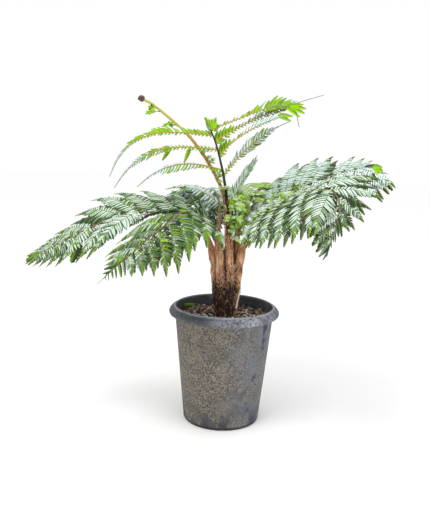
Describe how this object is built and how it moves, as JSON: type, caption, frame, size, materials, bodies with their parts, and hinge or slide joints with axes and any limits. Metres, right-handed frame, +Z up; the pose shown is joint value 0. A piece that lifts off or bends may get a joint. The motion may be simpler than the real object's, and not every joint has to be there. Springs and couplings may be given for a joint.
{
  "type": "potted tree fern",
  "caption": "Young tree fern with a short fibrous trunk, arching fronds, an upright young frond and a curled one, in a round nursery pot.",
  "frame": {"origin": "middle of the pot's flat underside", "axes": "+Z up along the trunk, +X to the right and +Y away, seen from the front"},
  "size_m": [0.9382, 0.7812, 0.883],
  "materials": {
    "pot": "weathered grey-brown plastic",
    "soil": "damp bark mix",
    "trunk": "matted root fibre",
    "stalk": "scaly stalk",
    "leaf": "matt pale green leaf",
    "young_leaf": "lime green leaf"
  },
  "bodies": {
    "root": {"frond_back_inner": "leaf", "frond_back_left_inner": "leaf", "frond_back_left_outer": "leaf", "frond_back_outer": "leaf", "frond_back_right_inner": "leaf", "frond_back_right_outer": "leaf", "frond_curled": "young_leaf", "frond_front_left_inner": "leaf", "frond_front_left_outer": "leaf", "frond_front_right_inner": "leaf", "frond_front_right_outer": "leaf", "frond_left_inner": "leaf", "frond_left_outer": "leaf", "frond_right_inner": "leaf", "frond_right_outer": "leaf", "frond_small": "leaf", "frond_tall": "young_leaf", "pot": "pot", "soil": "soil", "stalk_back": "stalk", "stalk_back_left": "stalk", "stalk_back_right": "stalk", "stalk_curled": "stalk", "stalk_front_left": "stalk", "stalk_front_right": "stalk", "stalk_left": "stalk", "stalk_right": "stalk", "stalk_small": "stalk", "stalk_tall": "stalk", "trunk": "trunk"}
  },
  "joints": []
}
